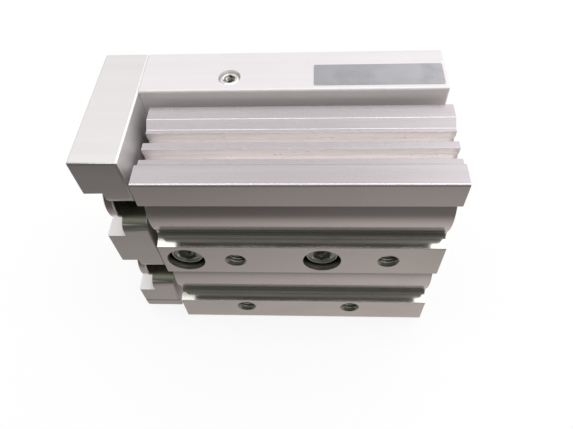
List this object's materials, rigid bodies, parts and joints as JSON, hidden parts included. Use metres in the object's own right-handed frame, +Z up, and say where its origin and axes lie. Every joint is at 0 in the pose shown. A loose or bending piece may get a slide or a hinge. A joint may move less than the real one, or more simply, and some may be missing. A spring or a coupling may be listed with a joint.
{
  "type": "pneumatic slide table",
  "caption": "Pneumatic slide table: a grooved body with mounting lands, and a ball-guided table with an end plate pushed by piston rods that run inside the body.",
  "frame": {"origin": "bottom centre of the overall box, on the plane of the body's lower side, table retracted", "axes": "+X back along the stroke, from the end plate to the rear of the body; +Y out of the table's working face, away from the mounting lands; +Z up, from the port side to the grooved side"},
  "size_m": [0.097, 0.046, 0.0781],
  "materials": {
    "anodised_body": "fine satin clear anodising on an extrusion",
    "anodised_table": "satin clear anodising on machined faces",
    "anodised_plate": "satin clear anodising on machined faces",
    "guide_steel": "ground hardened steel",
    "ball_steel": "polished",
    "guide_resin": "moulded resin",
    "scraper_rubber": "matt",
    "screw_steel": "zinc plated, slightly worn",
    "nut_steel": "turned",
    "ring_steel": "phosphated spring steel",
    "rod_chrome": "hard chrome plated",
    "bush_bronze": "turned bearing alloy",
    "piston_alloy": "turned",
    "magnet_compound": "bonded magnet",
    "seal_rubber": "smooth",
    "bumper_rubber": "smooth",
    "label_foil": "satin foil, bare"
  },
  "bodies": {
    "housing": {"body": "anodised_body", "guide_block": "guide_steel", "guide_balls": "ball_steel", "front_return_guide": "guide_resin", "rear_return_guide": "guide_resin", "front_scraper": "scraper_rubber", "rear_scraper": "scraper_rubber", "return_guide_screws": "screw_steel", "guide_block_bolts": "screw_steel", "upper_rod_cover": "bush_bronze", "lower_rod_cover": "bush_bronze", "upper_rod_seal": "seal_rubber", "lower_rod_seal": "seal_rubber", "upper_front_bumper": "bumper_rubber", "lower_front_bumper": "bumper_rubber", "upper_rear_bumper": "bumper_rubber", "lower_rear_bumper": "bumper_rubber", "upper_head_cap": "piston_alloy", "lower_head_cap": "piston_alloy", "upper_cap_seal": "seal_rubber", "lower_cap_seal": "seal_rubber", "front_retaining_rings": "ring_steel", "rear_retaining_rings": "ring_steel"},
    "slide_table": {"table": "anodised_table", "end_plate": "anodised_plate", "guide_rail": "guide_steel", "rail_bolts": "screw_steel", "end_plate_screws": "screw_steel", "side_set_screw": "screw_steel", "rod_nuts": "nut_steel", "upper_piston_rod": "rod_chrome", "lower_piston_rod": "rod_chrome", "end_plate_pins": "rod_chrome", "upper_floating_bush": "bush_bronze", "lower_floating_bush": "bush_bronze", "upper_piston": "piston_alloy", "lower_piston": "piston_alloy", "upper_magnet": "magnet_compound", "lower_magnet": "magnet_compound", "upper_piston_seal": "seal_rubber", "lower_piston_seal": "seal_rubber", "label_plate": "label_foil"}
  },
  "joints": [
    {"name": "table_slide", "type": "slide", "parent": "housing", "child": "slide_table", "axis": [-1, 0, 0], "range_m": [0, 0.02]}
  ]
}
